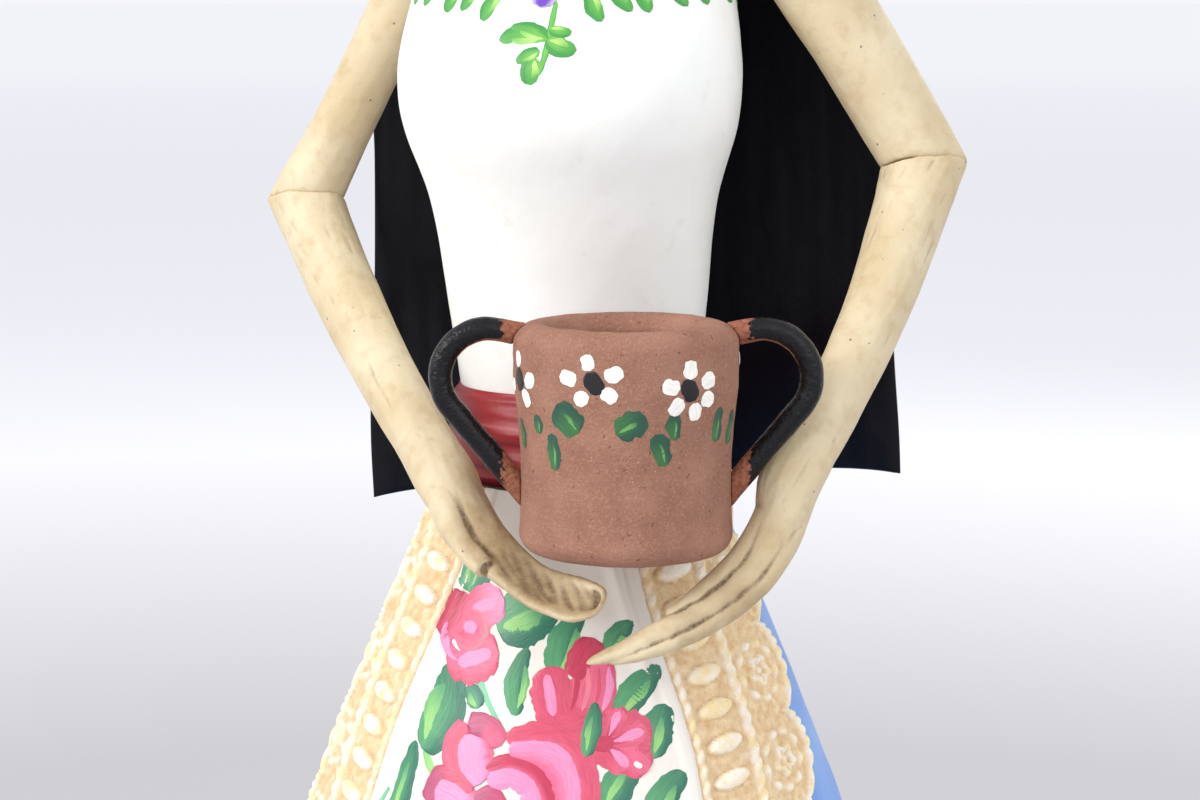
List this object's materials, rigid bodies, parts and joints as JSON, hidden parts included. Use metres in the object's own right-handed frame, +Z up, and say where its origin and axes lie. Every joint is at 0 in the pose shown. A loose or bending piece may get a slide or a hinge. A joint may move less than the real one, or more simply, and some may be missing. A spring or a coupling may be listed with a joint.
{
  "type": "papier-mache catrina figure",
  "caption": "Standing folk-art skeleton lady in a long painted skirt, apron and blouse, holding out a small two-handled clay mug in both hands.",
  "frame": {"origin": "centre of the flat underside of the base, on the skirt's axis", "axes": "+Z up, her front faces -Y, +X is towards her left side"},
  "size_m": [0.133, 0.133, 0.3007],
  "materials": {
    "plain_wood": "bare sawn board",
    "armature_wire": "dull annealed iron wire",
    "core_card": "brown card, uncoated",
    "newspaper": "wadded paper and paste",
    "blue_paint": "papier-mache shell in satin cornflower blue paint",
    "white_paint": "papier-mache in satin off-white paint with hand-painted flowers",
    "cream_lace": "stiffened lace trim with a golden-brown wash",
    "red_paint": "papier-mache in striped red paint",
    "bone_paint": "papier-mache in bone-coloured paint with a brown antique wash",
    "black_lacquer": "papier-mache in semi-gloss black paint",
    "rose_paper": "painted folded-paper petals",
    "leaf_paper": "painted paper leaves",
    "red_clay": "unglazed sandy terracotta with painted flowers",
    "handle_glaze": "terracotta coil brushed with glossy black"
  },
  "bodies": {
    "figure": {"base_disc": "plain_wood", "spine_wire": "armature_wire", "arm_wire_left": "armature_wire", "arm_wire_right": "armature_wire", "skirt_core": "core_card", "torso_core": "newspaper", "head_core": "newspaper", "skirt": "blue_paint", "apron_panel": "white_paint", "apron_lace_left": "cream_lace", "apron_lace_right": "cream_lace", "apron_lace_bottom": "cream_lace", "sash_band": "red_paint", "blouse": "white_paint", "chest": "bone_paint", "neck": "bone_paint", "skull": "bone_paint", "upper_arm_left": "bone_paint", "upper_arm_right": "bone_paint", "forearm_left": "bone_paint", "forearm_right": "bone_paint", "hand_left": "bone_paint", "hand_right": "bone_paint", "hair_cap": "black_lacquer", "hair_fall": "black_lacquer", "rose_1": "rose_paper", "rose_2": "rose_paper", "rose_3": "rose_paper", "rose_4": "rose_paper", "rose_5": "rose_paper", "leaf_1": "leaf_paper", "leaf_2": "leaf_paper", "leaf_3": "leaf_paper", "leaf_4": "leaf_paper", "leaf_5": "leaf_paper", "leaf_6": "leaf_paper"},
    "mug": {"mug_body": "red_clay", "mug_handle_left": "handle_glaze", "mug_handle_right": "handle_glaze"}
  },
  "joints": [
    {"name": "mug_lift", "type": "slide", "parent": "figure", "child": "mug", "axis": [0, -0.64, 0.7684], "range_m": [0, 0.06]}
  ]
}
